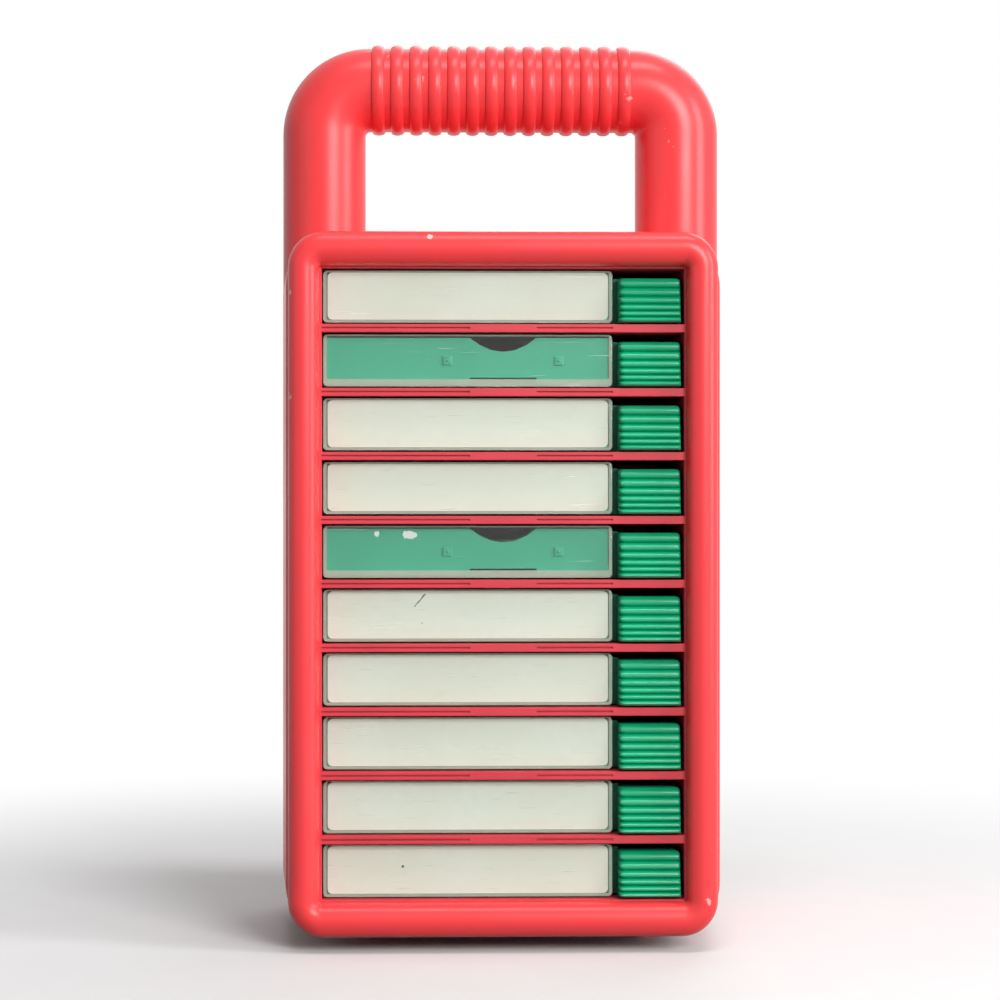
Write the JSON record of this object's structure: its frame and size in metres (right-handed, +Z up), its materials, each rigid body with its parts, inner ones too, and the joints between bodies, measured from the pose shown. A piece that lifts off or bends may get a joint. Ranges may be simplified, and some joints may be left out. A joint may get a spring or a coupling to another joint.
{
  "type": "cassette tape case",
  "caption": "Upright carrying case for compact cassettes: sprung drawers with clear fronts and ribbed latch buttons in a moulded shell with a ringed loop handle.",
  "frame": {"origin": "centre of the case's base, at the level of its feet", "axes": "+Z up, drawers open towards -Y, +X to the right as seen from the front"},
  "size_m": [0.1376, 0.0968, 0.279],
  "materials": {
    "case_red": "satin moulded polypropylene",
    "rack_red": "satin moulded plastic",
    "tray_green": "satin moulded plastic",
    "button_green": "glossy moulded plastic",
    "clear_cap": "clear moulded polystyrene",
    "card": "matt card",
    "spring_steel": "drawn wire",
    "screw_steel": "zinc plated"
  },
  "bodies": {
    "case": {"front_shell": "case_red", "rear_shell": "case_red", "drawer_rack": "rack_red", "case_screws": "screw_steel", "eject_spring_01": "spring_steel", "eject_spring_02": "spring_steel", "eject_spring_03": "spring_steel", "eject_spring_04": "spring_steel", "eject_spring_05": "spring_steel", "eject_spring_06": "spring_steel", "eject_spring_07": "spring_steel", "eject_spring_08": "spring_steel", "eject_spring_09": "spring_steel", "eject_spring_10": "spring_steel"},
    "drawer_01": {"drawer_tray_01": "tray_green", "window_cap_01": "clear_cap", "label_card_01": "card"},
    "latch_01": {"latch_button_01": "button_green"},
    "drawer_02": {"drawer_tray_02": "tray_green", "window_cap_02": "clear_cap"},
    "latch_02": {"latch_button_02": "button_green"},
    "drawer_03": {"drawer_tray_03": "tray_green", "window_cap_03": "clear_cap", "label_card_03": "card"},
    "latch_03": {"latch_button_03": "button_green"},
    "drawer_04": {"drawer_tray_04": "tray_green", "window_cap_04": "clear_cap", "label_card_04": "card"},
    "latch_04": {"latch_button_04": "button_green"},
    "drawer_05": {"drawer_tray_05": "tray_green", "window_cap_05": "clear_cap"},
    "latch_05": {"latch_button_05": "button_green"},
    "drawer_06": {"drawer_tray_06": "tray_green", "window_cap_06": "clear_cap", "label_card_06": "card"},
    "latch_06": {"latch_button_06": "button_green"},
    "drawer_07": {"drawer_tray_07": "tray_green", "window_cap_07": "clear_cap", "label_card_07": "card"},
    "latch_07": {"latch_button_07": "button_green"},
    "drawer_08": {"drawer_tray_08": "tray_green", "window_cap_08": "clear_cap", "label_card_08": "card"},
    "latch_08": {"latch_button_08": "button_green"},
    "drawer_09": {"drawer_tray_09": "tray_green", "window_cap_09": "clear_cap", "label_card_09": "card"},
    "latch_09": {"latch_button_09": "button_green"},
    "drawer_10": {"drawer_tray_10": "tray_green", "window_cap_10": "clear_cap", "label_card_10": "card"},
    "latch_10": {"latch_button_10": "button_green"}
  },
  "joints": [
    {"name": "drawer_slide_01", "type": "slide", "parent": "case", "child": "drawer_01", "axis": [0, -1, 0], "range_m": [0, 0.052], "deforming": ["eject_spring_01"]},
    {"name": "latch_hinge_01", "type": "hinge", "parent": "drawer_01", "child": "latch_01", "pos_m": [0.0531, -0.01, 0.1969], "axis": [-1, 0, 0], "range_deg": [0, 4], "stiffness_Nm_per_rad": 0.05},
    {"name": "drawer_slide_02", "type": "slide", "parent": "case", "child": "drawer_02", "axis": [0, -1, 0], "range_m": [0, 0.052], "deforming": ["eject_spring_02"]},
    {"name": "latch_hinge_02", "type": "hinge", "parent": "drawer_02", "child": "latch_02", "pos_m": [0.0531, -0.01, 0.1777], "axis": [-1, 0, 0], "range_deg": [0, 4], "stiffness_Nm_per_rad": 0.05},
    {"name": "drawer_slide_03", "type": "slide", "parent": "case", "child": "drawer_03", "axis": [0, -1, 0], "range_m": [0, 0.052], "deforming": ["eject_spring_03"]},
    {"name": "latch_hinge_03", "type": "hinge", "parent": "drawer_03", "child": "latch_03", "pos_m": [0.0531, -0.01, 0.1585], "axis": [-1, 0, 0], "range_deg": [0, 4], "stiffness_Nm_per_rad": 0.05},
    {"name": "drawer_slide_04", "type": "slide", "parent": "case", "child": "drawer_04", "axis": [0, -1, 0], "range_m": [0, 0.052], "deforming": ["eject_spring_04"]},
    {"name": "latch_hinge_04", "type": "hinge", "parent": "drawer_04", "child": "latch_04", "pos_m": [0.0531, -0.01, 0.1393], "axis": [-1, 0, 0], "range_deg": [0, 4], "stiffness_Nm_per_rad": 0.05},
    {"name": "drawer_slide_05", "type": "slide", "parent": "case", "child": "drawer_05", "axis": [0, -1, 0], "range_m": [0, 0.052], "deforming": ["eject_spring_05"]},
    {"name": "latch_hinge_05", "type": "hinge", "parent": "drawer_05", "child": "latch_05", "pos_m": [0.0531, -0.01, 0.1201], "axis": [-1, 0, 0], "range_deg": [0, 4], "stiffness_Nm_per_rad": 0.05},
    {"name": "drawer_slide_06", "type": "slide", "parent": "case", "child": "drawer_06", "axis": [0, -1, 0], "range_m": [0, 0.052], "deforming": ["eject_spring_06"]},
    {"name": "latch_hinge_06", "type": "hinge", "parent": "drawer_06", "child": "latch_06", "pos_m": [0.0531, -0.01, 0.1009], "axis": [-1, 0, 0], "range_deg": [0, 4], "stiffness_Nm_per_rad": 0.05},
    {"name": "drawer_slide_07", "type": "slide", "parent": "case", "child": "drawer_07", "axis": [0, -1, 0], "range_m": [0, 0.052], "deforming": ["eject_spring_07"]},
    {"name": "latch_hinge_07", "type": "hinge", "parent": "drawer_07", "child": "latch_07", "pos_m": [0.0531, -0.01, 0.0817], "axis": [-1, 0, 0], "range_deg": [0, 4], "stiffness_Nm_per_rad": 0.05},
    {"name": "drawer_slide_08", "type": "slide", "parent": "case", "child": "drawer_08", "axis": [0, -1, 0], "range_m": [0, 0.052], "deforming": ["eject_spring_08"]},
    {"name": "latch_hinge_08", "type": "hinge", "parent": "drawer_08", "child": "latch_08", "pos_m": [0.0531, -0.01, 0.0625], "axis": [-1, 0, 0], "range_deg": [0, 4], "stiffness_Nm_per_rad": 0.05},
    {"name": "drawer_slide_09", "type": "slide", "parent": "case", "child": "drawer_09", "axis": [0, -1, 0], "range_m": [0, 0.052], "deforming": ["eject_spring_09"]},
    {"name": "latch_hinge_09", "type": "hinge", "parent": "drawer_09", "child": "latch_09", "pos_m": [0.0531, -0.01, 0.0433], "axis": [-1, 0, 0], "range_deg": [0, 4], "stiffness_Nm_per_rad": 0.05},
    {"name": "drawer_slide_10", "type": "slide", "parent": "case", "child": "drawer_10", "axis": [0, -1, 0], "range_m": [0, 0.052], "deforming": ["eject_spring_10"]},
    {"name": "latch_hinge_10", "type": "hinge", "parent": "drawer_10", "child": "latch_10", "pos_m": [0.0531, -0.01, 0.0241], "axis": [-1, 0, 0], "range_deg": [0, 4], "stiffness_Nm_per_rad": 0.05}
  ]
}
